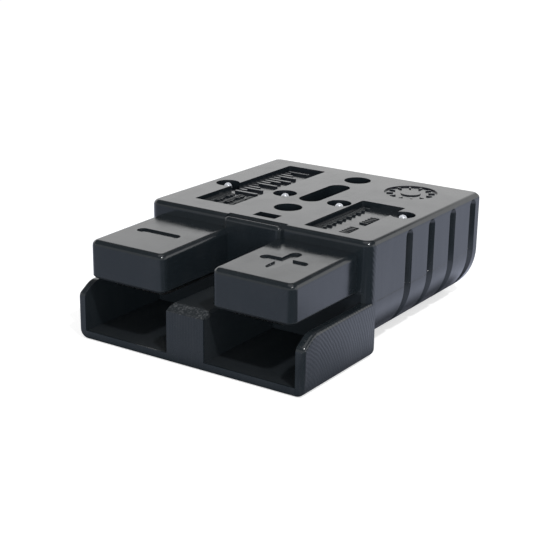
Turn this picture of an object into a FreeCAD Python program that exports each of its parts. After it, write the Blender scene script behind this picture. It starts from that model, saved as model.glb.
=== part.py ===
import FreeCAD, Part
import math
import os
import Sketcher

# A two-pole genderless power connector of the 175 A size, in millimetres.
# One moulded housing carries two silver-plated contacts. A leaf spring above each
# contact presses its blade down, and two steel pins lock each spring.
# X runs across the poles, Y from the mating face (0) to the cable end, Z up.

doc = FreeCAD.newDocument("PowerConnector")

SIZES = [
    ("wide", 56.0, "housing width"),
    ("long", 74.0, "housing length, mating face to cable end"),
    ("high", 24.9, "housing height"),
    ("pole", 15.0, "pole centre from the middle plane"),
    ("bore_up", 12.4, "height of the cable bore's axis"),
    ("block_front", 23.8, "front wall of the rear block"),
    ("belly_round", 12.0, "quarter-round along the lower sides"),
    ("front_round", 2.3, "upright front corners of the rear block"),
    ("rear_bevel", 1.2, "outline of the rear face"),
    ("top_round", 1.2, "edges of the top face"),
    ("hood_high", 12.1, "hood wall height"),
    ("hood_long", 26.5, "hood length"),
    ("hood_round", 2.0, "lower edges of the hood"),
    ("nose_back", 3.5, "slope on the hood's side walls, along their top"),
    ("nose_drop", 2.2, "slope on the hood's side walls, down their front"),
    ("nose_blend", 4.5, "blend above that slope"),
    ("nose_chin", 1.5, "blend below that slope"),
    ("rim_round", 0.8, "outline of the hood's front"),
    ("bevel_back", 2.4, "bevel on the pillar, along its top"),
    ("bevel_drop", 1.2, "bevel on the pillar, down its front"),
    ("pillar_ease", 0.5, "long top edges of the pillar"),
    ("hood_floor", 1.9, "hood floor thickness"),
    ("hood_wall", 1.9, "hood side wall thickness"),
    ("pillar", 4.6, "half width of the pillar between the sockets"),
    ("socket_deep", 24.5, "socket depth"),
    ("boss_half", 7.1, "half width of the raised middle of the front wall"),
    ("boss_proud", 1.3, "how far that middle stands out"),
    ("boss_under", 0.15, "how far that middle stays under the top"),
    ("boss_edge", 0.9, "edges of the raised middle"),
    ("tongue_in", 5.9, "inner side of a tongue"),
    ("tongue_out", 25.0, "outer side of a tongue"),
    ("tongue_set", 0.6, "tongue front behind the mating face"),
    ("tongue_low", 13.7, "underside of a tongue"),
    ("tongue_high", 21.8, "top of a tongue at its front"),
    ("tongue_rise", 0.5, "rise of that top towards the block"),
    ("tongue_edge", 1.25, "top edges of a tongue"),
    ("tongue_corner", 1.7, "upright front corners of a tongue"),
    ("tongue_lip", 0.5, "bevel round the underside of a tongue"),
    ("channel_half", 7.8, "half width of the contact channel"),
    ("channel_low", 12.2, "floor of the channel inside the block"),
    ("channel_high", 19.0, "ceiling of the channel"),
    ("channel_front", 2.4, "wall in front of the channel"),
    ("channel_end", 50.5, "where the channel meets the cable bore"),
    ("bore_radius", 8.2, "cable bore"),
    ("bore_lip", 0.9, "bevelled mouth of the cable bore"),
    ("bolt_radius", 3.1, "mounting holes"),
    ("bolt_front", 36.5, "front mounting hole"),
    ("bolt_rear", 65.9, "rear mounting hole"),
    ("slot_half", 2.6, "half width of the long slot"),
    ("slot_front", 43.0, "front end of the long slot"),
    ("slot_rear", 60.0, "rear end of the long slot"),
    ("notch_half", 2.8, "half width of the small top pocket"),
    ("notch_front", 27.1, "front end of the small top pocket"),
    ("notch_rear", 30.1, "rear end of the small top pocket"),
    ("notch_deep", 3.0, "depth of the small top pocket"),
    ("panel_deep", 1.3, "depth of both top panels"),
    ("panel_round", 0.5, "corners of both top panels"),
    ("long_in", 10.5, "inner side of the long left panel"),
    ("long_out", 20.7, "outer side of the long left panel"),
    ("long_front", 30.6, "front end of the long left panel"),
    ("long_rear", 68.6, "rear end of the long left panel"),
    ("short_in", 10.1, "inner side of the short right panel"),
    ("short_out", 20.8, "outer side of the short right panel"),
    ("short_front", 27.0, "front end of the short right panel"),
    ("short_rear", 51.1, "rear end of the short right panel"),
    ("pin_off", 7.9, "pin axis from the pole centre"),
    ("pin_at", 46.0, "pin axis from the mating face"),
    ("pin_radius", 1.2, "pin"),
    ("pin_play", 0.01, "pin hole over the pin, on the radius"),
    ("pin_foot", 16.5, "lower end of the pin"),
    ("pin_head", 24.8, "top of the pin"),
    ("pin_bevel", 0.45, "bevel round the pin's top"),
    ("well_radius", 2.7, "counterbore round a pin"),
    ("well_deep", 2.2, "depth of the counterbore"),
    ("grip_count", 4, "grip grooves on each side"),
    ("grip_first", 38.4, "front edge of the first grip groove"),
    ("grip_wide", 2.9, "width of a grip groove"),
    ("grip_step", 9.9, "spacing of the grip grooves"),
    ("grip_deep", 1.3, "depth of a grip groove"),
    ("grip_top", 24.05, "upper end of a grip groove"),
    ("grip_floor", 1.5, "width of a groove's floor"),
    ("grip_turn", 12.7, "radius of a groove's floor round the belly"),
    ("blade_half", 7.5, "half width of a contact blade"),
    ("blade_low", 12.25, "mating face of a contact blade"),
    ("blade_thick", 3.0, "thickness of a contact blade"),
    ("blade_front", 3.2, "front end of a contact blade"),
    ("blade_end", 51.2, "where a blade meets its barrel"),
    ("blade_corner", 2.5, "front corners of a blade"),
    ("blade_lead", 0.6, "bevel round the underside of a blade"),
    ("neck_half", 5.3, "half width of the neck where it meets the barrel"),
    ("catch_front", 4.4, "front of the catch across a blade"),
    ("catch_long", 2.0, "length of the catch"),
    ("catch_high", 0.9, "height of the catch"),
    ("barrel_front", 54.4, "front end of a barrel"),
    ("barrel_rear", 71.0, "rear end of a barrel"),
    ("barrel_radius", 7.6, "outside of a barrel"),
    ("wire_radius", 5.9, "wire bore of a barrel"),
    ("wire_deep", 14.0, "depth of the wire bore"),
    ("wire_lead", 0.6, "chamfer at the wire bore's mouth"),
    ("sight_radius", 1.3, "sight hole of a barrel"),
    ("sight_at", 60.0, "sight hole from the mating face"),
    ("leaf_half", 7.35, "half width of a leaf spring"),
    ("leaf_thick", 0.8, "thickness of a leaf spring"),
    ("leaf_up", 18.5, "height of the flat end's middle"),
    ("leaf_rear", 49.6, "rear end of a leaf spring"),
    ("leaf_flat", 40.0, "front end of the flat part"),
    ("leaf_touch", 13.0, "where a leaf presses on the blade"),
    ("leaf_tip", 7.4, "front end of a leaf spring"),
    ("leaf_bend", 14.0, "both bends of a leaf spring"),
    ("leaf_play", 0.02, "gap left between the leaf and the blade"),
    ("leaf_notch", 1.35, "notch round a pin"),
    ("leaf_corner", 2.0, "front corners of a leaf spring"),
]

# The spreadsheet holds every driving dimension.
sheet = doc.addObject("Spreadsheet::Sheet", "Sizes")
for row, (alias, value, note) in enumerate(SIZES, start=1):
    sheet.set("A%d" % row, alias)
    sheet.set("B%d" % row, str(value))
    sheet.set("C%d" % row, note)
    sheet.setAlias("B%d" % row, alias)
doc.recompute()


class Size:
    """A number with the spreadsheet expression that drives it."""

    def __init__(self, value, text):
        self.value = float(value)
        self.text = text

    def __add__(self, other):
        other = sized(other)
        return Size(self.value + other.value, "(%s + %s)" % (self.text, other.text))

    def __sub__(self, other):
        other = sized(other)
        return Size(self.value - other.value, "(%s - %s)" % (self.text, other.text))

    def __mul__(self, other):
        other = sized(other)
        return Size(self.value * other.value, "(%s * %s)" % (self.text, other.text))

    def __rmul__(self, other):
        return self * other

    def __truediv__(self, other):
        other = sized(other)
        return Size(self.value / other.value, "(%s / %s)" % (self.text, other.text))

    def __neg__(self):
        return Size(-self.value, "(0 - %s)" % self.text)


def sized(number):
    if isinstance(number, Size):
        return number
    return Size(number, repr(float(number)))


size = {alias: Size(value, "Sizes." + alias) for alias, value, note in SIZES}
half_wide = size["wide"] / 2
past = Size(2.0, "2.0")


# Sketches and features
def new_body(label, x=0.0):
    """A body whose own origin sits on the mating face, x from the middle plane."""
    body = doc.addObject("PartDesign::Body", "Body_" + label)
    body.Label = label
    body.setExpression("Placement.Base.x", sized(x).text)
    body.setExpression("Placement.Base.y", (-size["long"] / 2).text)
    return body


def origin_plane(body, role):
    for feature in body.Origin.OriginFeatures:
        if feature.Role == role:
            return feature


def new_sketch(body, name, role, offset=0.0):
    """A sketch on an origin plane, moved along that plane's normal by offset."""
    sketch = body.newObject("Sketcher::SketchObject", name)
    sketch.AttachmentSupport = [(origin_plane(body, role), "")]
    sketch.MapMode = "FlatFace"
    sketch.setExpression("AttachmentOffset.Base.z", sized(offset).text)
    return sketch


def across(body, name, y):
    """A sketch across the connector at distance y from the mating face."""
    return new_sketch(body, name, "XZ_Plane", -sized(y))


def flat(body, name, z):
    return new_sketch(body, name, "XY_Plane", z)


def upright(body, name, x=0.0):
    return new_sketch(body, name, "YZ_Plane", x)


def pin_point(sketch, geometry, end, u, v):
    """Hold one end of a line or arc, or a centre, at u and v from the origin."""
    for kind, place in (("DistanceX", u), ("DistanceY", v)):
        place = sized(place)
        rule = Sketcher.Constraint(kind, -1, 1, geometry, end, place.value)
        index = sketch.addConstraint(rule)
        sketch.setExpression("Constraints[%d]" % index, place.text)


def outline(sketch, corners):
    """A closed run of straight lines through the corners, each one held."""
    points = [(sized(u), sized(v)) for u, v in corners]
    first = None
    for index, (u, v) in enumerate(points):
        after = points[(index + 1) % len(points)]
        start = FreeCAD.Vector(u.value, v.value, 0)
        stop = FreeCAD.Vector(after[0].value, after[1].value, 0)
        line = sketch.addGeometry(Part.LineSegment(start, stop), False)
        pin_point(sketch, line, 1, u, v)
        if first is None:
            first = line
        else:
            sketch.addConstraint(Sketcher.Constraint("Coincident", line - 1, 2, line, 1))
    last = first + len(points) - 1
    sketch.addConstraint(Sketcher.Constraint("Coincident", last, 2, first, 1))


def chain(sketch, corners):
    """Straight lines through the corners, left open, each corner held."""
    points = [(sized(u), sized(v)) for u, v in corners]
    for index in range(len(points) - 1):
        line = sketch.addGeometry(Part.LineSegment(spot(*points[index]), spot(*points[index + 1])), False)
        pin_point(sketch, line, 1, *points[index])
        if index:
            sketch.addConstraint(Sketcher.Constraint("Coincident", line - 1, 2, line, 1))
    pin_point(sketch, line, 2, *points[-1])


def rectangle(sketch, left, right, low, top):
    outline(sketch, [(left, low), (right, low), (right, top), (left, top)])


def circle(sketch, u, v, radius):
    u, v, radius = sized(u), sized(v), sized(radius)
    centre = FreeCAD.Vector(u.value, v.value, 0)
    normal = FreeCAD.Vector(0, 0, 1)
    ring = sketch.addGeometry(Part.Circle(centre, normal, radius.value), False)
    pin_point(sketch, ring, 3, u, v)
    index = sketch.addConstraint(Sketcher.Constraint("Radius", ring, radius.value))
    sketch.setExpression("Constraints[%d]" % index, radius.text)


def spot(u, v):
    return FreeCAD.Vector(sized(u).value, sized(v).value, 0)


def arc(sketch, u, v, radius, start, stop):
    """An arc round (u, v), its ends given in degrees."""
    turn = Part.Circle(spot(u, v), FreeCAD.Vector(0, 0, 1), sized(radius).value)
    piece = Part.ArcOfCircle(turn, math.radians(start), math.radians(stop))
    return sketch.addGeometry(piece, False)


def stadium(sketch, middle, low, high, half):
    """A slot with round ends along the sketch's second axis."""
    near = sized(low) + half
    far = sized(high) - half
    bottom = arc(sketch, middle, near, half, 180, 360)
    top = arc(sketch, middle, far, half, 0, 180)
    right = sized(middle) + half
    left = sized(middle) - half
    rise = sketch.addGeometry(Part.LineSegment(spot(right, near), spot(right, far)), False)
    fall = sketch.addGeometry(Part.LineSegment(spot(left, far), spot(left, near)), False)
    pin_point(sketch, bottom, 3, middle, near)
    pin_point(sketch, top, 3, middle, far)
    pin_point(sketch, bottom, 1, left, near)
    pin_point(sketch, top, 1, right, far)
    sketch.addConstraint(Sketcher.Constraint("Tangent", bottom, 2, rise, 1))
    sketch.addConstraint(Sketcher.Constraint("Coincident", rise, 2, top, 1))
    sketch.addConstraint(Sketcher.Constraint("Tangent", top, 2, fall, 1))
    sketch.addConstraint(Sketcher.Constraint("Coincident", fall, 2, bottom, 1))


def arch(sketch, middle, low, spring, half):
    """A straight-sided opening with a round top, flat below."""
    left = sized(middle) - half
    right = sized(middle) + half
    chain(sketch, [(left, low), (right, low), (right, spring)])
    top = arc(sketch, middle, spring, half, 0, 180)
    fall = sketch.addGeometry(Part.LineSegment(spot(left, spring), spot(left, low)), False)
    pin_point(sketch, top, 3, middle, spring)
    sketch.addConstraint(Sketcher.Constraint("Coincident", top, 1, 1, 2))
    sketch.addConstraint(Sketcher.Constraint("Tangent", top, 2, fall, 1))
    sketch.addConstraint(Sketcher.Constraint("Coincident", fall, 2, 0, 1))


def tangent_slope(upper, lower, radius):
    """Angle of the line that touches both bends of an S, in radians."""
    along = upper[0].value - lower[0].value
    drop = lower[1].value - upper[1].value
    apart = math.hypot(along, drop)
    return math.asin(2 * radius.value / apart) - math.atan2(drop, along)


def extrude(body, kind, name, sketch, length, backwards=False):
    """A Pad or a Pocket of the sketch."""
    feature = body.newObject("PartDesign::" + kind, name)
    feature.Profile = sketch
    feature.Reversed = backwards
    feature.setExpression("Length", sized(length).text)
    sketch.Visibility = False
    doc.recompute()
    return feature


def spin(body, kind, name, sketch, across, low, top):
    """A Revolution or a Groove about an upright axis drawn in the sketch."""
    axis = sketch.addGeometry(Part.LineSegment(spot(across, low), spot(across, top)), True)
    pin_point(sketch, axis, 1, across, low)
    pin_point(sketch, axis, 2, across, top)
    feature = body.newObject("PartDesign::" + kind, name)
    feature.Profile = sketch
    feature.ReferenceAxis = (sketch, ["Axis0"])
    feature.Angle = 360
    doc.recompute()
    return feature


def within(box, x=None, y=None, z=None):
    """Whether a bounding box lies inside the given spans, with a little slack."""
    slack = 0.02
    spans = ((x, box.XMin, box.XMax), (y, box.YMin, box.YMax), (z, box.ZMin, box.ZMax))
    for span, low, top in spans:
        if span is None:
            continue
        lowest, highest = sorted((sized(span[0]).value, sized(span[1]).value))
        if low < lowest - slack or top > highest + slack:
            return False
    return True


def edges_in(body, *regions, least=0.0):
    """Names of the tip's edges that lie wholly inside one of the regions."""
    names = []
    for index, edge in enumerate(body.Tip.Shape.Edges, start=1):
        box = edge.BoundBox
        if edge.Length > least and any(within(box, **region) for region in regions):
            names.append("Edge%d" % index)
    return names


def round_edges(body, name, radius, *regions, least=0.0):
    base = body.Tip
    names = edges_in(body, *regions, least=least)
    feature = body.newObject("PartDesign::Fillet", name)
    feature.Base = (base, names)
    feature.setExpression("Radius", sized(radius).text)
    doc.recompute()
    return feature


def at(place):
    return (place, place)


# Housing
def both(low, high):
    """The same span on the left and on the right side."""
    return ((-sized(high), -sized(low)), (sized(low), sized(high)))


def rear_block(body):
    sketch = across(body, "RearBlockOutline", size["block_front"])
    rectangle(sketch, -half_wide, half_wide, 0.0, size["high"])
    extrude(body, "Pad", "RearBlock", sketch, size["long"] - size["block_front"], True)
    sides = (-half_wide, half_wide)
    round_edges(body, "BellyRound", size["belly_round"], *[dict(x=at(x), z=at(0)) for x in sides])
    rear_face = dict(y=at(size["long"]), z=(0.0, size["high"] - 0.1))
    rear_sides = [dict(x=at(x), y=at(size["long"])) for x in sides]
    bevel_edges(body, "RearBevel", size["rear_bevel"], rear_face, *rear_sides)
    front_sides = [dict(x=at(x), y=at(size["block_front"])) for x in sides]
    round_edges(body, "FrontRound", size["front_round"], *front_sides)
    round_edges(body, "TopRound", size["top_round"], dict(z=at(size["high"])))


def hood(body):
    sketch = across(body, "HoodOutline", 0.0)
    rectangle(sketch, -half_wide, half_wide, 0.0, size["hood_high"])
    extrude(body, "Pad", "Hood", sketch, size["hood_long"], True)
    sides = (-half_wide, half_wide)
    low_sides = [dict(x=at(x), y=(0.0, size["hood_long"]), z=at(0)) for x in sides]
    round_edges(body, "HoodRound", size["hood_round"], *low_sides)


def middle_wall(body):
    """The middle of the block's front wall stands a little proud."""
    sketch = across(body, "MiddleOutline", size["block_front"] - size["boss_proud"])
    top = size["high"] - size["boss_under"]
    half = size["boss_half"]
    front = size["block_front"] - size["boss_proud"]
    rectangle(sketch, -half, half, size["hood_high"] - 1.0, top)
    extrude(body, "Pad", "MiddleWall", sketch, size["boss_proud"] + size["top_round"], True)
    uprights = [dict(x=at(x), y=at(front)) for x in (-half, half)]
    round_edges(body, "MiddleCorner", size["boss_edge"], *uprights)
    crest = dict(x=(-half, half), y=at(front), z=at(top))
    round_edges(body, "MiddleTop", size["boss_edge"] - 0.05, crest)


def tongues(body):
    """Two tongues reach over the hood, open below for the mating contacts."""
    sketch = across(body, "TongueOutline", size["tongue_set"])
    top = size["tongue_high"] + size["tongue_rise"]
    for left, right in both(size["tongue_in"], size["tongue_out"]):
        rectangle(sketch, left, right, size["tongue_low"], top)
    reach = size["block_front"] - size["tongue_set"] + 0.5
    extrude(body, "Pad", "Tongues", sketch, reach, True)
    rise = upright(body, "TongueSlope", -half_wide)
    front = size["tongue_set"]
    outline(rise, [(front, size["tongue_high"]), (size["block_front"], top), (front, top)])
    extrude(body, "Pocket", "TongueRise", rise, size["wide"], True)
    sides = [-size["tongue_out"], -size["tongue_in"], size["tongue_in"], size["tongue_out"]]
    uprights = [dict(x=at(x), y=at(front)) for x in sides]
    round_edges(body, "TongueCorner", size["tongue_corner"], *uprights)
    lip = dict(y=(front, front + size["tongue_corner"]), z=at(size["tongue_low"]))
    bevel_edges(body, "TongueLip", size["tongue_lip"], lip)
    heights = (size["tongue_high"], top)
    tops = [dict(x=at(x), z=heights) for x in sides]
    round_edges(body, "TongueTop", size["tongue_edge"], dict(y=at(front), z=heights), *tops)


def sockets(body):
    sketch = across(body, "SocketOutline", -past)
    for left, right in both(size["pillar"], half_wide - size["hood_wall"]):
        rectangle(sketch, left, right, size["hood_floor"], size["tongue_low"])
    extrude(body, "Pocket", "Sockets", sketch, size["socket_deep"] + past)


def channels(body):
    """Contact channels run under the tongues into the cable bores."""
    sketch = across(body, "ChannelOutline", size["channel_front"])
    near = size["pole"] - size["channel_half"]
    far = size["pole"] + size["channel_half"]
    for left, right in both(near, far):
        rectangle(sketch, left, right, size["channel_low"], size["channel_high"])
    reach = size["channel_end"] - size["channel_front"] + 1.0
    extrude(body, "Pocket", "Channels", sketch, reach)
    sketch = across(body, "CableBoreOutline", size["channel_end"])
    for x in (-size["pole"], size["pole"]):
        circle(sketch, x, size["bore_up"], size["bore_radius"])
    extrude(body, "Pocket", "CableBores", sketch, size["long"] - size["channel_end"] + past)
    mouths = dict(y=at(size["long"]), z=(2.0, size["high"] - 2.0), x=(-26.0, 26.0))
    bevel_edges(body, "BoreLip", size["bore_lip"], mouths)


def top_cuts(body):
    sketch = flat(body, "PanelOutline", size["high"])
    rectangle(sketch, -size["long_out"], -size["long_in"], size["long_front"], size["long_rear"])
    rectangle(sketch, size["short_in"], size["short_out"], size["short_front"], size["short_rear"])
    extrude(body, "Pocket", "Panels", sketch, size["panel_deep"])
    depth = (size["high"] - size["panel_deep"], size["high"])
    corners = []
    for x in (-size["long_out"], -size["long_in"]):
        for y in (size["long_front"], size["long_rear"]):
            corners.append(dict(x=at(x), y=at(y), z=depth))
    for x in (size["short_in"], size["short_out"]):
        for y in (size["short_front"], size["short_rear"]):
            corners.append(dict(x=at(x), y=at(y), z=depth))
    round_edges(body, "PanelRound", size["panel_round"], *corners)
    sketch = flat(body, "BoltOutline", size["high"] + past)
    circle(sketch, 0.0, size["bolt_front"], size["bolt_radius"])
    circle(sketch, 0.0, size["bolt_rear"], size["bolt_radius"])
    extrude(body, "Pocket", "BoltHoles", sketch, size["high"] + 2 * past)
    sketch = flat(body, "SlotOutline", size["high"] + past)
    stadium(sketch, 0.0, size["slot_front"], size["slot_rear"], size["slot_half"])
    extrude(body, "Pocket", "Slot", sketch, size["high"] + 2 * past)
    sketch = flat(body, "NotchOutline", size["high"] + past)
    half = size["notch_half"]
    rectangle(sketch, -half, half, size["notch_front"], size["notch_rear"])
    extrude(body, "Pocket", "Notch", sketch, size["notch_deep"] + past)


def pin_holes(body):
    wells = flat(body, "WellOutline", size["high"] + past)
    holes = flat(body, "PinHoleOutline", size["high"] + past)
    for pole in (-size["pole"], size["pole"]):
        for x in (pole - size["pin_off"], pole + size["pin_off"]):
            circle(wells, x, size["pin_at"], size["well_radius"])
            circle(holes, x, size["pin_at"], size["pin_radius"] + size["pin_play"])
    extrude(body, "Pocket", "Wells", wells, size["well_deep"] + past)
    deep = size["high"] - size["pin_foot"] + 0.1 + past
    extrude(body, "Pocket", "PinHoles", holes, deep)


def grips(body):
    """Grooves down both sides for the fingers, running out under the belly."""
    radius = size["grip_wide"] / 2
    floor = size["grip_floor"] / 2
    middle = size["grip_first"] + radius
    low = size["belly_round"]
    side = upright(body, "GripSide", half_wide)
    rise = size["grip_top"] - radius
    arch(side, middle, low - (radius - floor), rise, radius)
    face = extrude(body, "Pocket", "GripFace", side, size["grip_deep"])
    lean = math.degrees(math.atan((radius.value - floor.value) / size["grip_deep"].value))
    face.TaperAngle = -lean
    doc.recompute()
    belly = flat(body, "GripBelly", low)
    slope = (radius - floor) / size["grip_deep"]
    wide = radius + slope * past
    outer = half_wide + past
    inner = half_wide - size["grip_deep"]
    front = [(inner, middle - floor), (outer, middle - wide)]
    rear = [(outer, middle + wide), (inner, middle + floor)]
    outline(belly, front + rear)
    hub = half_wide - size["grip_turn"] - size["grip_deep"]
    axis = belly.addGeometry(Part.LineSegment(spot(hub, 0), spot(hub, size["long"])), True)
    pin_point(belly, axis, 1, hub, 0.0)
    pin_point(belly, axis, 2, hub, size["long"])
    turn = body.newObject("PartDesign::Groove", "GripTurn")
    turn.Profile = belly
    turn.ReferenceAxis = (belly, ["Axis0"])
    turn.Angle = 85
    doc.recompute()
    row = body.newObject("PartDesign::MultiTransform", "GripRows")
    row.Originals = [face, turn]
    line = body.newObject("PartDesign::LinearPattern", "GripRow")
    line.Direction = (belly, ["V_Axis"])
    line.Mode = "Spacing"
    line.setExpression("Offset", size["grip_step"].text)
    line.setExpression("Occurrences", size["grip_count"].text)
    mirror = body.newObject("PartDesign::Mirrored", "GripMirror")
    mirror.MirrorPlane = (origin_plane(body, "YZ_Plane"), [""])
    row.Transformations = [line, mirror]
    body.Tip = row
    doc.recompute()


def bevel_edges(body, name, amount, *regions):
    base = body.Tip
    names = edges_in(body, *regions)
    bevel = body.newObject("PartDesign::Chamfer", name)
    bevel.Base = (base, names)
    bevel.setExpression("Size", amount.text)
    doc.recompute()


def slope_cut(body, name, x, width, inward, back, drop):
    """Cuts a hood wall's top down towards the mating face, width along X from x."""
    top = size["hood_high"]
    start = top - drop - drop * past / back
    sketch = upright(body, name + "Outline", x)
    outline(sketch, [(-past, start), (back, top), (back, top + past), (-past, top + past)])
    extrude(body, "Pocket", name, sketch, width, inward)


def nose(body):
    """The hood's walls slope down at the front, the pillar between is bevelled."""
    walls = both(half_wide - size["hood_wall"], half_wide)
    top = size["hood_high"]
    width = size["hood_wall"] + 0.5
    slope_cut(body, "NoseLeft", -half_wide, width, True, size["nose_back"], size["nose_drop"])
    slope_cut(body, "NoseRight", half_wide, width, False, size["nose_back"], size["nose_drop"])
    above = [dict(x=span, y=at(size["nose_back"]), z=at(top)) for span in walls]
    round_edges(body, "NoseBlend", size["nose_blend"], *above)
    below = [dict(x=span, y=at(0), z=at(top - size["nose_drop"])) for span in walls]
    round_edges(body, "NoseChin", size["nose_chin"], *below)
    width = 2 * (size["pillar"] + 0.5)
    slope_cut(body, "PillarBevel", -size["pillar"] - 0.5, width, True, size["bevel_back"], size["bevel_drop"])
    reach = (size["bevel_back"], size["block_front"] - size["boss_proud"])
    ridge = [dict(x=at(x), y=reach, z=at(top)) for x in (-size["pillar"], size["pillar"])]
    bevel_edges(body, "PillarEase", size["pillar_ease"], *ridge)
    sides = (-half_wide, half_wide)
    rim = [dict(x=at(x), y=(0.0, size["nose_back"] + 2.0), z=(2.0, top)) for x in sides]
    round_edges(body, "RimRound", size["rim_round"], *rim)


def make_housing():
    body = new_body("housing")
    rear_block(body)
    hood(body)
    middle_wall(body)
    tongues(body)
    sockets(body)
    nose(body)
    channels(body)
    top_cuts(body)
    pin_holes(body)
    grips(body)
    return body


# Contacts
def make_contact(label, x):
    """A flat blade that grows into a round barrel for the cable's end."""
    body = new_body(label, x)
    half = size["blade_half"]
    blade = flat(body, "BladeOutline", size["blade_low"])
    rectangle(blade, -half, half, size["blade_front"], size["blade_end"])
    extrude(body, "Pad", "Blade", blade, size["blade_thick"])
    front = size["blade_front"]
    top = size["blade_low"] + size["blade_thick"]
    corners = [dict(x=at(side), y=at(front)) for side in (-half, half)]
    round_edges(body, "BladeCorner", size["blade_corner"], *corners)
    nose_end = dict(y=(front, front + size["blade_corner"]), z=at(size["blade_low"]))
    bevel_edges(body, "BladeLead", size["blade_lead"], nose_end)
    catch = upright(body, "CatchOutline", -half)
    catch_rear = size["catch_front"] + size["catch_long"]
    crest = top + size["catch_high"]
    slope_end = size["catch_front"] + size["catch_long"] * 0.6
    base = [(size["catch_front"], top - 0.5), (catch_rear, top - 0.5)]
    ramp = [(catch_rear, crest), (slope_end, crest), (size["catch_front"], top)]
    outline(catch, base + ramp)
    extrude(body, "Pad", "Catch", catch, half * 2)
    near = across(body, "NeckStart", size["blade_end"])
    rectangle(near, -half, half, size["blade_low"], top)
    far = across(body, "NeckEnd", size["barrel_front"])
    root = size["neck_half"]
    rectangle(far, -root, root, size["bore_up"] - root, size["bore_up"] + root)
    neck = body.newObject("PartDesign::AdditiveLoft", "Neck")
    neck.Profile = near
    neck.Sections = [far]
    neck.Ruled = True
    doc.recompute()
    barrel = across(body, "BarrelOutline", size["barrel_front"])
    circle(barrel, 0.0, size["bore_up"], size["barrel_radius"])
    extrude(body, "Pad", "Barrel", barrel, size["barrel_rear"] - size["barrel_front"], True)
    wire = across(body, "WireOutline", size["barrel_rear"] - size["wire_deep"])
    circle(wire, 0.0, size["bore_up"], size["wire_radius"])
    extrude(body, "Pocket", "WireBore", wire, size["wire_deep"] + past)
    sight = flat(body, "SightOutline", size["bore_up"] + size["barrel_radius"] + past)
    circle(sight, 0.0, size["sight_at"], size["sight_radius"])
    extrude(body, "Pocket", "SightHole", sight, size["barrel_radius"] + past)
    lead = upright(body, "WireLeadOutline")
    rear = size["barrel_rear"]
    rim = size["bore_up"] + size["wire_radius"]
    outline(lead, [(rear - size["wire_lead"], rim), (rear, rim), (rear, rim + size["wire_lead"])])
    axis = lead.addGeometry(Part.LineSegment(spot(0, size["bore_up"]), spot(rear, size["bore_up"])), True)
    pin_point(lead, axis, 1, 0.0, size["bore_up"])
    pin_point(lead, axis, 2, rear, size["bore_up"])
    cone = body.newObject("PartDesign::Groove", "WireLead")
    cone.Profile = lead
    cone.ReferenceAxis = (lead, ["Axis0"])
    cone.Angle = 360
    doc.recompute()
    return body


# Springs and pins
def make_spring(label, x):
    """A strip bent down to press on the blade and up again at its front end."""
    body = new_body(label, x)
    path = upright(body, "SpringPath")
    bend = size["leaf_bend"]
    low = size["blade_low"] + size["blade_thick"] + size["leaf_play"] + size["leaf_thick"] / 2
    rear = (size["leaf_rear"], size["leaf_up"])
    start = (size["leaf_flat"], size["leaf_up"])
    upper = (size["leaf_flat"], size["leaf_up"] - bend)
    lower = (size["leaf_touch"], low + bend)
    slope = math.degrees(tangent_slope(upper, lower, bend))
    flat_end = path.addGeometry(Part.LineSegment(spot(*rear), spot(*start)), False)
    first = arc(path, *upper, bend, 90, 90 + slope)
    away = (upper[0].value - bend.value * math.sin(math.radians(slope)),
            upper[1].value + bend.value * math.cos(math.radians(slope)))
    toward = (lower[0].value + bend.value * math.sin(math.radians(slope)),
              lower[1].value - bend.value * math.cos(math.radians(slope)))
    ramp = path.addGeometry(Part.LineSegment(spot(*away), spot(*toward)), False)
    run = size["leaf_touch"].value - size["leaf_tip"].value
    open_angle = math.degrees(math.asin(run / bend.value))
    last = arc(path, *lower, bend, 270 - open_angle, 270 + slope)
    pin_point(path, flat_end, 1, *rear)
    pin_point(path, first, 3, *upper)
    pin_point(path, last, 3, *lower)
    for item in (first, last):
        index = path.addConstraint(Sketcher.Constraint("Radius", item, bend.value))
        path.setExpression("Constraints[%d]" % index, bend.text)
    path.addConstraint(Sketcher.Constraint("Tangent", flat_end, 2, first, 1))
    path.addConstraint(Sketcher.Constraint("Tangent", first, 2, ramp, 1))
    path.addConstraint(Sketcher.Constraint("Tangent", ramp, 2, last, 2))
    index = path.addConstraint(Sketcher.Constraint("DistanceX", -1, 1, last, 1, size["leaf_tip"].value))
    path.setExpression("Constraints[%d]" % index, size["leaf_tip"].text)
    half = size["leaf_half"]
    strip = across(body, "StripOutline", size["leaf_rear"])
    thin = size["leaf_thick"] / 2
    rectangle(strip, -half, half, size["leaf_up"] - thin, size["leaf_up"] + thin)
    leaf = body.newObject("PartDesign::AdditivePipe", "Leaf")
    leaf.Profile = strip
    leaf.Spine = path
    doc.recompute()
    holes = flat(body, "PinNotches", size["high"])
    for side in (-size["pin_off"], size["pin_off"]):
        circle(holes, side, size["pin_at"], size["leaf_notch"])
    extrude(body, "Pocket", "Notches", holes, size["high"] - size["bore_up"])
    tip = [dict(x=at(side), y=(size["leaf_tip"] - 0.6, size["leaf_tip"] + 0.6)) for side in (-half, half)]
    round_edges(body, "TipCorner", size["leaf_corner"], *tip, least=0.5)
    return body


def make_pin(label, x):
    """A plain steel pin with a bevelled top, driven down beside the channel."""
    body = new_body(label, x)
    sketch = upright(body, "PinOutline")
    axis = size["pin_at"]
    side = axis + size["pin_radius"]
    crown = size["pin_head"]
    lines = [(axis, crown), (axis, size["pin_foot"]), (side, size["pin_foot"])]
    outline(sketch, lines + [(side, crown - size["pin_bevel"]), (side - size["pin_bevel"], crown)])
    spin(body, "Revolution", "Pin", sketch, axis, size["pin_foot"], crown)
    return body


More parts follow.
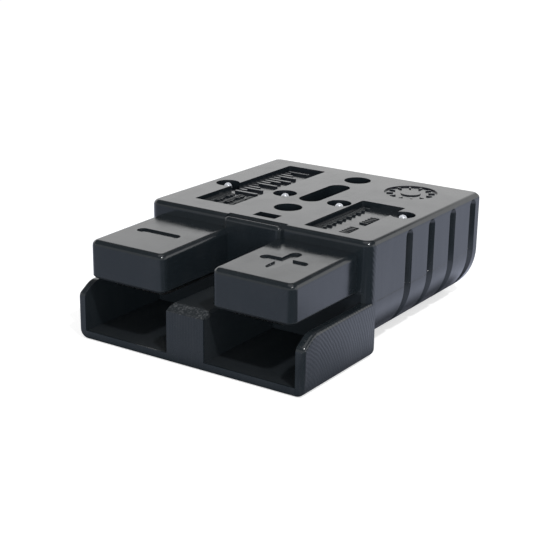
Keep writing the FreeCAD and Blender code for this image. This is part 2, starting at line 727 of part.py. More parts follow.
pieces = [make_housing()]
for side_name, pole_x in (("left", -size["pole"]), ("right", size["pole"])):
    pieces.append(make_contact("contact_" + side_name, pole_x))
    pieces.append(make_spring("spring_" + side_name, pole_x))
    inner_sign = 1 if side_name == "left" else -1
    pieces.append(make_pin("pin_%s_inner" % side_name, pole_x + size["pin_off"] * inner_sign))
    pieces.append(make_pin("pin_%s_outer" % side_name, pole_x - size["pin_off"] * inner_sign))

doc.recompute()
wrong = [item.Name for item in doc.Objects if set(item.State) & {"Invalid", "Error"}]
if wrong:
    raise RuntimeError("not built: " + ", ".join(wrong))
os.makedirs("parts", exist_ok=True)
for part in pieces:
    shape = part.Shape
    if shape.isNull() or not shape.isValid() or len(shape.Solids) != 1:
        raise RuntimeError("not one valid solid: " + part.Label)
    shape.exportStep("parts/%s.step" % part.Label)
    print("%s: %.0f cubic millimetres" % (part.Label, shape.Volume))
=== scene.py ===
import math
import bmesh
import bpy
import numpy as np
from mathutils import Matrix, Vector

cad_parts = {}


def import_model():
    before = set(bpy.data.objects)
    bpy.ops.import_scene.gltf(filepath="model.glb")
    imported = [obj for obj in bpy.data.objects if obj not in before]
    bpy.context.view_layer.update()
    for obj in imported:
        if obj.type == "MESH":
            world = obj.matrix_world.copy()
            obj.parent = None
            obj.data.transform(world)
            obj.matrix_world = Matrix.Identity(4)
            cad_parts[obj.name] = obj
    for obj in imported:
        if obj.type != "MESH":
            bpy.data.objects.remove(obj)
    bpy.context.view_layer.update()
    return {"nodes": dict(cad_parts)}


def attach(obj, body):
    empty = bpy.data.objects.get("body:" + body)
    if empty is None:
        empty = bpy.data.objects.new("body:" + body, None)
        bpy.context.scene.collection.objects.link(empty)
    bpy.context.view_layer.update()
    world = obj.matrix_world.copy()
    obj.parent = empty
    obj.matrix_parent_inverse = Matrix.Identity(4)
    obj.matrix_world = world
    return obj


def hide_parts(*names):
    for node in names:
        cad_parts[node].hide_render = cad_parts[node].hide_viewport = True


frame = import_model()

# Genderless power connector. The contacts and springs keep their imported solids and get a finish. The
# housing is made again from its own solid, with its engraved and raised marks, and the pins are turned
# with a round top. Everything is in metres, with the mating face towards minus Y and the underside at
# height zero.

mm = 0.001
degree = math.pi / 180
print("stage: frame loaded,", len(frame["nodes"]), "solids")


# Short names for adding and joining nodes in one tree
class Wires:
    def __init__(self, tree):
        self.tree = tree

    def node(self, kind, **settings):
        made = self.tree.nodes.new(kind)
        for key, value in settings.items():
            setattr(made, key, value)
        return made

    def put(self, socket, value):
        if isinstance(value, bpy.types.NodeSocket):
            self.tree.links.new(value, socket)
        else:
            socket.default_value = value

    def math(self, operation, a, b=0.0):
        made = self.node("ShaderNodeMath", operation=operation)
        self.put(made.inputs[0], a)
        self.put(made.inputs[1], b)
        return made.outputs[0]

    def times(self, first, *others):
        for other in others:
            first = self.math("MULTIPLY", first, other)
        return first

    def plus(self, first, *others):
        for other in others:
            first = self.math("ADD", first, other)
        return first

    # Distance covered by going a one way and b across it
    def span(self, a, b):
        return self.math("SQRT", self.plus(self.times(a, a), self.times(b, b)))

    # Smooth change from toLow to toHigh as the value goes from low to high, and low may be the larger
    def ramp(self, value, low, high, toLow=0.0, toHigh=1.0):
        made = self.node("ShaderNodeMapRange", interpolation_type="SMOOTHSTEP")
        for key, given in (("Value", value), ("From Min", low), ("From Max", high),
                           ("To Min", toLow), ("To Max", toHigh)):
            self.put(made.inputs[key], given)
        return made.outputs["Result"]

    def noise(self, vector, scale, detail, rough):
        made = self.node("ShaderNodeTexNoise")
        self.put(made.inputs["Vector"], vector)
        self.put(made.inputs["Scale"], scale)
        self.put(made.inputs["Detail"], detail)
        self.put(made.inputs["Roughness"], rough)
        return made.outputs["Fac"]

    def mix(self, factor, first, second):
        made = self.node("ShaderNodeMix", data_type="RGBA")
        self.put(made.inputs["Factor"], factor)
        self.put(made.inputs["A"], first)
        self.put(made.inputs["B"], second)
        return made.outputs["Result"]

    def split(self, vector):
        made = self.node("ShaderNodeSeparateXYZ")
        self.put(made.inputs[0], vector)
        return [made.outputs[key] for key in "XYZ"]

    def stretch(self, vector, scale):
        made = self.node("ShaderNodeMapping")
        made.inputs["Scale"].default_value = scale
        self.put(made.inputs["Vector"], vector)
        return made.outputs["Vector"]

    def place(self):
        return self.node("ShaderNodeTexCoord").outputs["Object"]

    def glow(self, colour, strength):
        made = self.node("ShaderNodeEmission")
        made.inputs["Color"].default_value = colour
        self.put(made.inputs["Strength"], strength)
        return made.outputs[0]


def newMaterial(name):
    mat = bpy.data.materials.new(name)
    mat.use_nodes = True
    mat.node_tree.nodes.clear()
    w = Wires(mat.node_tree)
    return mat, w, w.node("ShaderNodeOutputMaterial").inputs["Surface"]


def newFinish(name):
    mat, w, surface = newMaterial(name)
    bsdf = w.node("ShaderNodeBsdfPrincipled")
    w.put(surface, bsdf.outputs["BSDF"])
    return mat, w, bsdf


# The height is in metres
def addBump(w, bsdf, height):
    bump = w.node("ShaderNodeBump")
    bump.inputs["Strength"].default_value = 1.0
    bump.inputs["Distance"].default_value = 1.0
    w.put(bump.inputs["Height"], height)
    w.put(bsdf.inputs["Normal"], bump.outputs["Normal"])


# Skin of a moulded or rolled surface: a soft mottle and a finer grain, each a noise's detail and
# roughness
grain = {
    "Mottle": (4.0, 0.6),
    "Grain": (2.0, 0.5),
}


def grainGroup():
    tree = bpy.data.node_groups.new("surfaceGrain", "ShaderNodeTree")
    tree.interface.new_socket(name="Position", in_out="INPUT", socket_type="NodeSocketVector")
    for label in grain:
        tree.interface.new_socket(name=label + " Size", in_out="INPUT", socket_type="NodeSocketFloat")
        tree.interface.new_socket(name=label, in_out="OUTPUT", socket_type="NodeSocketFloat")
    w = Wires(tree)
    given, result = w.node("NodeGroupInput"), w.node("NodeGroupOutput")
    for label, (detail, rough) in grain.items():
        pattern = w.noise(given.outputs["Position"], given.outputs[label + " Size"], detail, rough)
        w.put(result.inputs[label], pattern)
    return tree


grainTree = grainGroup()


def addGrain(w, place, mottleSize, grainSize):
    made = w.node("ShaderNodeGroup", node_tree=grainTree)
    w.put(made.inputs["Position"], place)
    w.put(made.inputs["Mottle Size"], mottleSize)
    w.put(made.inputs["Grain Size"], grainSize)
    return made.outputs["Mottle"], made.outputs["Grain"]


# Housing plastic. A noise is its scale, detail and roughness. A pair says where a ramp starts and ends,
# and under "where" it is a place along y, along z, or sideways from the middle plane.
plastic = {
    "colour": (0.0092, 0.0130, 0.0162, 1.0),
    "dust": (0.0250, 0.0280, 0.0320, 1.0),
    "rubbedPale": (0.055, 0.059, 0.063, 1.0),
    "ior": 1.55,
    "roughness": 0.17,
    "roughnessSpread": 0.09,
    "roughnessOver": (0.3, 0.7),
    "rougher": {"pillar": 0.10, "inside": 0.42, "rubbed": 0.15},
    "mottleSize": 170.0,
    "grainSize": 4200.0,
    "waveNoise": (95.0, 1.0, 0.4),
    "speckleNoise": (1900.0, 2.0, 0.7),
    "streakNoise": (620.0, 3.0, 0.6),
    "streakStretch": (1.0, 1.0, 0.10),
    "streakOver": (0.42, 0.68),
    "streakLevels": (0.08, 0.38),  # between the outer sides, and on them
    "dustOver": (0.45, 0.8),
    "dustLevel": 0.2,
    "frostOver": (0.50, 0.64),
    "seamHeight": 12.0 * mm,
    "seamWidth": 0.09 * mm,
    "rippleStep": 0.78 * mm,
    "rippleMiddle": (0.0, -43.0 * mm, -4.0 * mm),
    "rippleWobble": 1.6 * mm,
    "toolStep": 0.68 * mm,
    "heights": {"grain": 0.0035 * mm, "mottle": 0.012 * mm, "waves": 0.03 * mm, "seam": 0.07 * mm,
                "ripple": 0.012 * mm, "tool": 0.015 * mm, "speckle": 0.16 * mm},
    "where": {
        "blockY": (-10.6 * mm, -10.3 * mm),
        "blockSide": (25.5 * mm, 26.0 * mm),
        "hoodY": (-10.3 * mm, -10.9 * mm),
        "hoodSide": (27.6 * mm, 27.9 * mm),
        "pillarY": (-34.2 * mm, -34.8 * mm),
        "pillarSide": (4.75 * mm, 4.6 * mm),
        "rubbedZ": (10.6 * mm, 11.1 * mm),
        "insideSide": (26.3 * mm, 26.0 * mm),
        "insideZ": (14.45 * mm, 14.25 * mm),
        "insideFront": (-36.9 * mm, -36.5 * mm),
        "insideRear": (-9.0 * mm, -10.0 * mm),
        "streakSide": (24.5 * mm, 26.0 * mm),
    },
}


# Masks of the housing's areas: the rear block's outer walls, the hood's outer sides, the pillar's front,
# the inside and underside of the hood up to the tongues, and the rubbed bevel above the pillar's front
def housingZones(w, where, side, y, z):
    zones = {
        "block": w.times(w.ramp(y, *where["blockY"]), w.ramp(side, *where["blockSide"])),
        "hood": w.times(w.ramp(side, *where["hoodSide"]), w.ramp(y, *where["hoodY"])),
        "pillar": w.times(w.ramp(side, *where["pillarSide"]), w.ramp(y, *where["pillarY"])),
        "inside": w.times(w.ramp(side, *where["insideSide"]), w.ramp(z, *where["insideZ"]),
                          w.ramp(y, *where["insideFront"]), w.ramp(y, *where["insideRear"])),
    }
    zones["rubbed"] = w.times(zones["pillar"], w.ramp(z, *where["rubbedZ"]))
    return zones


# Parting line
def seamPattern(w, p, z):
    offSeam = w.math("ABSOLUTE", w.math("SUBTRACT", z, p["seamHeight"]))
    return w.ramp(offSeam, p["seamWidth"], 0.0)


# Flow ripple: the sine of the distance, in y and z, from a point below the front, a little disturbed
def ripplePattern(w, p, y, z, mottle):
    flat = w.node("ShaderNodeCombineXYZ")
    w.put(flat.inputs["Y"], y)
    w.put(flat.inputs["Z"], z)
    away = w.node("ShaderNodeVectorMath", operation="DISTANCE")
    w.put(away.inputs[0], flat.outputs[0])
    w.put(away.inputs[1], p["rippleMiddle"])
    reach = w.plus(away.outputs["Value"], w.times(mottle, p["rippleWobble"]))
    return w.math("SINE", w.times(reach, 2 * math.pi / p["rippleStep"]))


def housingMaterial(p):
    mat, w, bsdf = newFinish("housingPlastic")
    place = w.place()
    x, y, z = w.split(place)
    side = w.math("ABSOLUTE", x)
    zones = housingZones(w, p["where"], side, y, z)
    outside = w.math("SUBTRACT", 1.0, zones["inside"])
    mottle, fine = addGrain(w, place, p["mottleSize"], p["grainSize"])
    speckle = w.noise(place, *p["speckleNoise"])

    # The tool lines run upright on the pillar's front, and the waves are slow and cover every face
    patterns = {
        "grain": w.times(fine, outside),
        "mottle": mottle,
        "waves": w.noise(place, *p["waveNoise"]),
        "seam": w.times(seamPattern(w, p, z), zones["block"]),
        "ripple": w.times(ripplePattern(w, p, y, z, mottle), zones["hood"]),
        "tool": w.times(w.math("SINE", w.times(x, 2 * math.pi / p["toolStep"])), zones["pillar"]),
        "speckle": w.times(zones["rubbed"], speckle),
    }
    addBump(w, bsdf, w.plus(*(w.times(patterns[key], p["heights"][key]) for key in patterns)))

    # Pale upright streaks and a little dust outside, and a frosty look where the bevel is rubbed
    streak = w.ramp(w.noise(w.stretch(place, p["streakStretch"]), *p["streakNoise"]), *p["streakOver"])
    streak = w.times(streak, w.ramp(side, *p["where"]["streakSide"], *p["streakLevels"]))
    dust = w.times(w.plus(w.times(w.ramp(mottle, *p["dustOver"]), p["dustLevel"]), streak), outside)
    dusty = w.mix(dust, p["colour"], p["dust"])
    frost = w.times(zones["rubbed"], w.ramp(speckle, *p["frostOver"]))
    w.put(bsdf.inputs["Base Color"], w.mix(frost, dusty, p["rubbedPale"]))

    half = p["roughnessSpread"] / 2
    rough = w.ramp(mottle, *p["roughnessOver"], p["roughness"] - half, p["roughness"] + half)
    more = [w.times(zones[key], amount) for key, amount in p["rougher"].items()]
    w.put(bsdf.inputs["Roughness"], w.plus(rough, *more))
    bsdf.inputs["IOR"].default_value = p["ior"]
    return mat


# Metals, brushed along the way in which the stretch draws the pattern out
metals = {
    "contactSilver": {"colour": (0.78, 0.76, 0.72, 1.0), "tarnish": (0.62, 0.57, 0.50, 1.0),
                      "roughness": 0.24, "stretch": (1.0, 0.06, 1.0), "scale": 2600.0, "metallic": 1.0},
    "springSteel": {"colour": (0.52, 0.52, 0.53, 1.0), "tarnish": (0.40, 0.41, 0.43, 1.0),
                    "roughness": 0.30, "stretch": (1.0, 0.04, 1.0), "scale": 3200.0, "metallic": 1.0},
    "pinSteel": {"colour": (0.84, 0.87, 0.93, 1.0), "tarnish": (0.66, 0.69, 0.76, 1.0),
                 "roughness": 0.22, "stretch": (1.0, 1.0, 0.15), "scale": 5000.0, "metallic": 0.5},
}
metalSkin = {
    "mottleSize": 220.0,
    "grainSize": 6000.0,
    "tarnishOver": (0.42, 0.72),
    "brushDetail": 2.0,
    "brushRough": 0.5,
    "brushOver": (0.3, 0.7),
    "brushHeight": 0.006 * mm,
    "smoother": 0.06,
    "rougher": 0.10,
}


def metalMaterial(name, p, skin):
    mat, w, bsdf = newFinish(name)
    place = w.place()
    brushed = w.noise(w.stretch(place, p["stretch"]), p["scale"], skin["brushDetail"], skin["brushRough"])
    mottle, _ = addGrain(w, place, skin["mottleSize"], skin["grainSize"])
    tarnish = w.ramp(mottle, *skin["tarnishOver"])
    w.put(bsdf.inputs["Base Color"], w.mix(tarnish, p["colour"], p["tarnish"]))
    w.put(bsdf.inputs["Roughness"], w.ramp(brushed, *skin["brushOver"], p["roughness"] - skin["smoother"],
                                           p["roughness"] + skin["rougher"]))
    addBump(w, bsdf, w.times(brushed, skin["brushHeight"]))
    bsdf.inputs["Metallic"].default_value = p["metallic"]
    return mat


def dress(node, mat):
    mesh = frame["nodes"][node].data
    if not mesh.materials:
        mesh.materials.append(mat)
    for index in range(len(mesh.materials)):
        mesh.materials[index] = mat


finishes = {name: metalMaterial(name, p, metalSkin) for name, p in metals.items()}
housingPlastic = housingMaterial(plastic)
for side in ("left", "right"):
    dress("contact_" + side, finishes["contactSilver"])
    dress("spring_" + side, finishes["springSteel"])
print("stage: materials made")


def meshFrom(name, points, faces, mat):
    mesh = bpy.data.meshes.new(name)
    mesh.from_pydata(points.reshape(-1, 3).tolist(), [], faces)
    mesh.materials.append(mat)
    made = bpy.data.objects.new(name, mesh)
    bpy.context.scene.collection.objects.link(made)
    return made


# Faces of closed rings stacked from the lowest up: quads between neighbours, a cap at each end.
# The points are numbered from first.
def ringFaces(rings, around, first=0):
    level, spoke = np.meshgrid(np.arange(rings - 1), np.arange(around), indexing="ij")
    after = (spoke + 1) % around
    quads = np.stack([level * around + spoke, level * around + after,
                      (level + 1) * around + after, (level + 1) * around + spoke], axis=-1)
    lower = np.arange(around)[::-1]
    upper = np.arange(around) + (rings - 1) * around
    caps = [(lower + first).tolist(), (upper + first).tolist()]
    return (quads.reshape(-1, 4) + first).tolist() + caps


# A round-ended bar. With angle u round it, the outline at each level is a circle of radius halfWide
# less the level's inset, its two halves pulled apart along the bar, then turned and moved in place.
def barRings(middle, halfLong, halfWide, turn, levels, around):
    u = (np.arange(around) + 0.5) * 2 * np.pi / around
    inset, height = np.array(levels).T
    radius = (halfWide - inset)[:, None]
    along = radius * np.cos(u) + np.sign(np.cos(u)) * (halfLong - halfWide)
    over = radius * np.sin(u)
    c, s = math.cos(turn), math.sin(turn)
    return np.stack([middle[0] + along * c - over * s, middle[1] + along * s + over * c,
                     np.broadcast_to(height[:, None], along.shape)], axis=-1)


# Many bars as one mesh, each a closed shape of its own
def barsMesh(name, bars):
    points, faces = [], []
    for bar in bars:
        rings = barRings(**bar)
        faces += ringFaces(rings.shape[0], rings.shape[1], sum(len(part) for part in points))
        points.append(rings.reshape(-1, 3))
    return meshFrom(name, np.concatenate(points), faces, housingPlastic)


# Marks on top of the housing: engraved poles, rows of plain raised bars, a moulding dial, and the slope
# on the raised middle of the front wall. A row runs along y, and its lengths are shares that repeat.
marks = {
    "deck": 24.9 * mm,
    "panelFloor": 23.6 * mm,
    "foot": (-0.03 * mm, -0.08 * mm),  # inset and height of a raised mark's foot, sunk in the floor
    "footTop": 0.02 * mm,
    "edgeShare": 0.35,  # of the half width, for the bevel round a raised mark's top
    "edgeMost": 0.12 * mm,
    "edgeRound": 0.3,  # of the bevel, at the middle point of its curve
    "cutSlope": 0.12 * mm,
    "cutOver": 0.4 * mm,
    "signTop": 22.05 * mm,
    "signDeep": 0.38 * mm,
    "signHalfLong": 5.5 * mm,
    "signHalfWide": 1.35 * mm,
    "plus": (15.25 * mm, -24.95 * mm),
    "minus": (-16.0 * mm, -24.95 * mm),
    "around": {"bar": 16, "tick": 12, "hub": 40, "sign": 40, "dial": 72},
    "rows": {
        "broad": {"x": (-16.3 * mm,), "spans": ((7.0 * mm, 29.2 * mm),), "count": 14,
                  "halfLong": 3.1 * mm, "halfWide": 0.44 * mm, "rise": 0.55 * mm,
                  "lengths": (1.0, 0.35, 0.86, 0.55, 0.28, 0.94, 0.45, 0.72)},
        "fine": {"x": (-18.3 * mm, -15.6 * mm, -12.9 * mm), "spans": ((-4.6 * mm, 4.4 * mm),), "count": 10,
                 "halfLong": 1.05 * mm, "halfWide": 0.26 * mm, "rise": 0.45 * mm,
                 "lengths": (1.0, 0.8, 0.6, 0.9)},
        "edge": {"x": (12.1 * mm,), "spans": ((-7.8 * mm, 11.9 * mm),), "count": 21,
                 "halfLong": 1.15 * mm, "halfWide": 0.27 * mm, "rise": 0.42 * mm,
                 "lengths": (1.0, 0.82, 0.92, 0.7)},
        "short": {"x": (17.6 * mm,), "spans": ((-6.4 * mm, -2.2 * mm), (1.8 * mm, 6.4 * mm)), "count": 5,
                  "halfLong": 1.1 * mm, "halfWide": 0.26 * mm, "rise": 0.3 * mm, "lengths": (1.0,)},
    },
    "dial": {"middle": (15.2 * mm, 26.7 * mm), "radius": 6.1 * mm, "deep": 0.32 * mm, "rise": 0.256 * mm,
             "ticks": 12, "tickAt": 4.7 * mm, "tickHalfLong": 0.75 * mm, "tickHalfWide": 0.22 * mm,
             "hub": 2.3 * mm},
    "crest": {"halfLong": 7.4 * mm, "outline": ((-13.6 * mm, 23.75 * mm), (-11.45 * mm, 24.86 * mm),
                                                (-11.45 * mm, 25.6 * mm), (-13.6 * mm, 25.6 * mm))},
}


# Levels of a raised mark, from its foot up its side and over its rounded edge
def raised(floor, rise, halfWide):
    inset, under = marks["foot"]
    edge = min(marks["edgeShare"] * halfWide, marks["edgeMost"])
    near = marks["edgeRound"] * edge
    top = floor + rise
    return [(inset, floor + under), (0.0, floor + marks["footTop"]), (0.0, top - edge),
            (near, top - near), (edge, top)]


# Levels of a cutter, from the floor of the cut to above the surface
def sunk(top, deep):
    return [(marks["cutSlope"], top - deep), (0.0, top + marks["cutOver"])]


def rowOfBars(p, x, low, high):
    for step, y in enumerate(np.linspace(low, high, p["count"])):
        halfLong = p["halfLong"] * p["lengths"][step % len(p["lengths"])]
        yield {"middle": (x + halfLong - p["halfLong"], y), "halfLong": halfLong,
               "halfWide": p["halfWide"], "turn": 0.0, "around": marks["around"]["bar"],
               "levels": raised(marks["panelFloor"], p["rise"], p["halfWide"])}


def roundMark(middle, radius, levels, around):
    return {"middle": middle, "halfLong": radius, "halfWide": radius, "turn": 0.0, "levels": levels,
            "around": around}


# Ticks in a circle round the hub, each pointing outwards
def dialMarks(dial):
    x, y = dial["middle"]
    floor = marks["deck"] - dial["deep"]
    for turn in np.arange(dial["ticks"]) * 2 * math.pi / dial["ticks"]:
        yield {"middle": (x + dial["tickAt"] * math.cos(turn), y + dial["tickAt"] * math.sin(turn)),
               "halfLong": dial["tickHalfLong"], "halfWide": dial["tickHalfWide"], "turn": turn,
               "levels": raised(floor, dial["rise"], dial["tickHalfWide"]),
               "around": marks["around"]["tick"]}
    yield roundMark((x, y), dial["hub"], raised(floor, dial["rise"], dial["hub"]), marks["around"]["hub"])


def raisedBars():
    bars = [bar for p in marks["rows"].values() for x in p["x"] for low, high in p["spans"]
            for bar in rowOfBars(p, x, low, high)]
    return bars + list(dialMarks(marks["dial"]))


def signCutters():
    sign = {"halfLong": marks["signHalfLong"], "halfWide": marks["signHalfWide"],
            "levels": sunk(marks["signTop"], marks["signDeep"]), "around": marks["around"]["sign"]}
    yield "plusAcross", dict(sign, middle=marks["plus"], turn=0.0)
    yield "plusAlong", dict(sign, middle=marks["plus"], turn=math.pi / 2)
    yield "minusAcross", dict(sign, middle=marks["minus"], turn=0.0)
    dial = marks["dial"]
    yield "dialRecess", roundMark(dial["middle"], dial["radius"], sunk(marks["deck"], dial["deep"]),
                                  marks["around"]["dial"])


# Cutter for the slope: a four-sided outline in y and z, carried across x
def crestCutter():
    crest = marks["crest"]
    across = np.array([-crest["halfLong"], crest["halfLong"]])[:, None]
    y, z = np.array(crest["outline"]).T
    rings = np.stack(np.broadcast_arrays(across, y, z), axis=-1)
    return meshFrom("crestSlope", rings, ringFaces(2, len(y)), housingPlastic)


shell = {
    "mergeWithin": 0.001 * mm,
    "sharpFrom": 24 * degree,
    "evenWeight": 80,
}


# The housing's own solid, merged, then cut and joined with its marks
def housingBody(p):
    source = bmesh.new()
    source.from_mesh(frame["nodes"]["housing"].data)
    bmesh.ops.remove_doubles(source, verts=source.verts, dist=p["mergeWithin"])
    points = np.array([vert.co for vert in source.verts])
    faces = [[vert.index for vert in face.verts] for face in source.faces]
    source.free()
    body = meshFrom("housingBody", points, faces, housingPlastic)
    tools = [("DIFFERENCE", barsMesh(name, [bar])) for name, bar in signCutters()]
    tools.append(("DIFFERENCE", crestCutter()))
    tools.append(("UNION", barsMesh("raisedBars", raisedBars())))
    for operation, tool in tools:
        cut = body.modifiers.new(tool.name, "BOOLEAN")
        cut.operation = operation
        cut.solver = "EXACT"
        cut.object = tool
    done = bpy.data.meshes.new_from_object(body.evaluated_get(bpy.context.evaluated_depsgraph_get()))
    body.modifiers.clear()
    body.data = done
    for _, tool in tools:
        bpy.data.objects.remove(tool)
    done.shade_smooth()
    done.set_sharp_from_angle(angle=p["sharpFrom"])
    even = body.modifiers.new("evenNormals", "WEIGHTED_NORMAL")
    even.keep_sharp = True
    even.weight = p["evenWeight"]
    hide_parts("housing")
    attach(body, "root")
    return body


housing = housingBody(shell)
print("stage: housing with its marks,", len(housing.data.polygons), "faces")


# Pins, each a thin stem under a ball
pins = {
    "ball": 0.96 * mm,
    "stem": 0.55 * mm,
    "foot": 16.5 * mm,
    "footBevel": 0.1 * mm,
    "top": 24.88 * mm,
    "topAngle": 0.47 * math.pi,  # just short of the ball's pole
    "steps": 17,
    "around": 48,
    "sharpFrom": 35 * degree,
    "y": 9.0 * mm,
    "x": {"left_outer": -22.9 * mm, "left_inner": -7.1 * mm,
          "right_inner": 7.1 * mm, "right_outer": 22.9 * mm},
}


# A profile of radius and height turned round an upright axis by u. With v as the angle up from the
# ball's middle, the radius is ball times cos v, and the height changes with ball times sin v.
def pinPiece(key, p):
    v = np.linspace(-math.acos(p["stem"] / p["ball"]), p["topAngle"], p["steps"])
    radius = np.concatenate([[p["stem"] - p["footBevel"], p["stem"]], p["ball"] * np.cos(v)])
    height = np.concatenate([[p["foot"], p["foot"] + p["footBevel"]],
                             p["top"] - p["ball"] * (1.0 - np.sin(v))])
    u = np.arange(p["around"]) * 2 * np.pi / p["around"]
    rings = np.stack([p["x"][key] + radius[:, None] * np.cos(u), p["y"] + radius[:, None] * np.sin(u),
                      np.broadcast_to(height[:, None], (len(radius), p["around"]))], axis=-1)
    made = meshFrom("pin_" + key + "_turned", rings, ringFaces(len(radius), p["around"]),
                    finishes["pinSteel"])
    made.data.shade_smooth()
    made.data.set_sharp_from_angle(angle=p["sharpFrom"])
    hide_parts("pin_" + key)
    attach(made, "root")


for key in pins["x"]:
    pinPiece(key, pins)
print("stage: pins turned")


# Floor and world. The camera sees both white. A level or share is about what shiny surfaces see, and a
# pair says where a ramp starts and ends.
white = (1.0, 1.0, 1.0, 1.0)
paper = {
    "size": 6.0,
    "drop": 0.05 * mm,  # keeps the paper and the flat underside apart
    "colour": (0.80, 0.80, 0.80, 1.0),
    "glow": 0.62,
    # The sheet is a painted reflection that only shiny surfaces see, with painted shade and a painted
    # shadow
    "paintedReflectionColour": (0.89, 0.95, 1.17, 1.0),
    "sideLevel": 0.88,
    "frontLevel": 0.42,
    "shadeLevel": 0.10,
    # where the painted shade falls in the sheet, at the right front away from the object
    "sideTurn": (50 * degree, 100 * degree),
    "shadeStart": (6 * degree, 26 * degree),
    "shadeEnd": (104 * degree, 82 * degree),
    "shadeFrom": (42 * mm, 54 * mm),
    # the painted shadow of the object in the sheet, over its footprint and fading outside it
    "underHalfX": 25 * mm,
    "underHalfY": 35.5 * mm,
    "underShadowFade": (0.0, 9 * mm),
    "underShadowShare": 0.12,
}
room = {
    "mattLevel": 0.42,  # what matt surfaces get
    "gapLevel": 0.12,
    "bandBack": 1.22,
    "bandFront": 0.50,
    "bandTurn": (-0.3, 0.3),  # of the direction's y
    "bandTop": (0.55, 0.45),  # of its z
    "overheadLevel": 0.85,
    "overheadFrom": (0.87, 0.93),
}


# Level of the painted reflection that shiny surfaces see on the floor, a sheet with painted shade. With
# turn as the angle from minus Y towards plus X, it goes from frontLevel to sideLevel as the turn grows
# either way, falls to a painted shade of shadeLevel at the right front away from the object, and keeps
# only underShadowShare of it under the object as a painted shadow.
def paintedReflectionLevel(w, p):
    x, y, _ = w.split(w.place())
    turn = w.math("ARCTAN2", x, w.times(y, -1.0))
    shade = w.times(w.ramp(turn, *p["shadeStart"]), w.ramp(turn, *p["shadeEnd"]),
                    w.ramp(w.span(x, y), *p["shadeFrom"]))
    pale = w.ramp(w.math("ABSOLUTE", turn), *p["sideTurn"], p["frontLevel"], p["sideLevel"])
    level = w.plus(w.times(pale, w.math("SUBTRACT", 1.0, shade)), w.times(shade, p["shadeLevel"]))
    outX = w.math("MAXIMUM", w.math("SUBTRACT", w.math("ABSOLUTE", x), p["underHalfX"]), 0.0)
    outY = w.math("MAXIMUM", w.math("SUBTRACT", w.math("ABSOLUTE", y), p["underHalfY"]), 0.0)
    return w.times(level, w.ramp(w.span(outX, outY), *p["underShadowFade"], p["underShadowShare"], 1.0))


# The camera sees lit paper with the object's soft shadow; shiny surfaces see the painted reflection sheet
def floorMaterial(p):
    mat, w, surface = newMaterial("floorPaper")
    matt = w.node("ShaderNodeBsdfDiffuse")
    matt.inputs["Color"].default_value = p["colour"]
    rays = w.node("ShaderNodeLightPath").outputs
    seen = w.math("MAXIMUM", rays["Is Camera Ray"], rays["Is Transmission Ray"])
    lit = w.node("ShaderNodeAddShader")
    w.put(lit.inputs[0], matt.outputs[0])
    w.put(lit.inputs[1], w.glow(white, w.times(seen, p["glow"])))
    both = w.node("ShaderNodeMixShader")
    w.put(both.inputs[0], rays["Is Glossy Ray"])
    w.put(both.inputs[1], lit.outputs[0])
    # Painted reflection: the sheet glows only for shiny surfaces, with painted shade and a painted shadow
    w.put(both.inputs[2], w.glow(p["paintedReflectionColour"], paintedReflectionLevel(w, p)))
    w.put(surface, both.outputs[0])
    return mat


def floorPiece(p):
    half, low = p["size"] / 2, -p["drop"]
    corners = np.array([(-half, -half, low), (half, -half, low), (half, half, low), (-half, half, low)])
    made = meshFrom("floor", corners, [(0, 1, 2, 3)], floorMaterial(p))


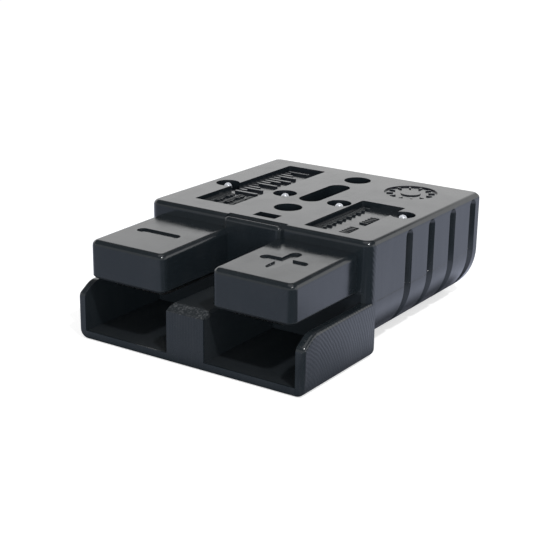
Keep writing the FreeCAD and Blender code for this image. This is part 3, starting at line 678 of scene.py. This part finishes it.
# Shiny surfaces see a pale band round the room, brighter behind than in front, a dark gap above it and
# a soft light overhead. Matt surfaces see one even level, and the camera sees white.
def world(p):
    made = bpy.data.worlds.new("studioWorld")
    made.use_nodes = True
    bpy.context.scene.world = made
    made.node_tree.nodes.clear()
    w = Wires(made.node_tree)
    rays = w.node("ShaderNodeLightPath").outputs
    _, y, z = w.split(w.node("ShaderNodeTexCoord").outputs["Generated"])
    band = w.times(w.ramp(y, *p["bandTurn"], p["bandFront"], p["bandBack"]), w.ramp(z, *p["bandTop"]))
    above = w.ramp(z, *p["overheadFrom"], p["gapLevel"], p["overheadLevel"])
    shiny = w.times(w.math("MAXIMUM", band, above), rays["Is Glossy Ray"])
    matt = w.times(w.math("SUBTRACT", 1.0, rays["Is Glossy Ray"]), p["mattLevel"])
    back = w.node("ShaderNodeBackground")
    back.inputs["Color"].default_value = white
    w.put(back.inputs["Strength"], w.math("MAXIMUM", w.plus(shiny, matt), rays["Is Camera Ray"]))
    w.put(w.node("ShaderNodeOutputWorld").inputs["Surface"], back.outputs[0])


# The front fill lights the sockets and isn't seen in the plastic
lampAim = Vector((0.0, 0.0, 10 * mm))
lamps = {
    "keyLamp": {"place": (0.40, -0.24, 0.60), "size": (0.045, 0.045), "power": 2.2, "inGloss": True},
    "frontFill": {"place": (0.42, -0.88, 0.18), "size": (0.60, 0.30), "power": 5.8, "inGloss": False},
}


def areaLamp(name, p):
    lamp = bpy.data.lights.new(name, "AREA")
    lamp.shape = "RECTANGLE"
    lamp.size, lamp.size_y = p["size"]
    lamp.energy = p["power"]
    made = bpy.data.objects.new(name, lamp)
    made.location = p["place"]
    made.rotation_euler = (lampAim - Vector(p["place"])).to_track_quat("-Z", "Y").to_euler()
    made.visible_glossy = p["inGloss"]
    bpy.context.scene.collection.objects.link(made)


# Angles in degrees, the lens and the sensor in their usual millimetres
view = {
    "place": (146.94 * mm, -224.75 * mm, 98.36 * mm),
    "azimuth": 33.556,
    "elevation": 18.561,
    "roll": 0.874,
    "lens": 82.85,
    "sensor": 36.0,
    "nearest": 10 * mm,
}


# With azimuth az and elevation el, the camera looks against (sin az cos el, -cos az cos el, sin el)
def camera(p):
    az, el, roll = (math.radians(p[key]) for key in ("azimuth", "elevation", "roll"))
    back = Vector((math.sin(az) * math.cos(el), -math.cos(az) * math.cos(el), math.sin(el)))
    right = Vector((math.cos(az), math.sin(az), 0.0))
    level = Matrix((right, back.cross(right), back)).transposed()
    turn = Matrix.Rotation(roll, 3, "Z")
    data = bpy.data.cameras.new("photoCamera")
    data.sensor_width = p["sensor"]
    data.lens = p["lens"]
    data.clip_start = p["nearest"]
    made = bpy.data.objects.new("photoCamera", data)
    made.matrix_world = Matrix.Translation(p["place"]) @ (level @ turn).to_4x4()
    bpy.context.scene.collection.objects.link(made)
    bpy.context.scene.camera = made


floorPiece(paper)
world(room)
for name in lamps:
    areaLamp(name, lamps[name])
camera(view)
bpy.context.scene.view_settings.view_transform = "Standard"
print("stage: floor, light and camera")
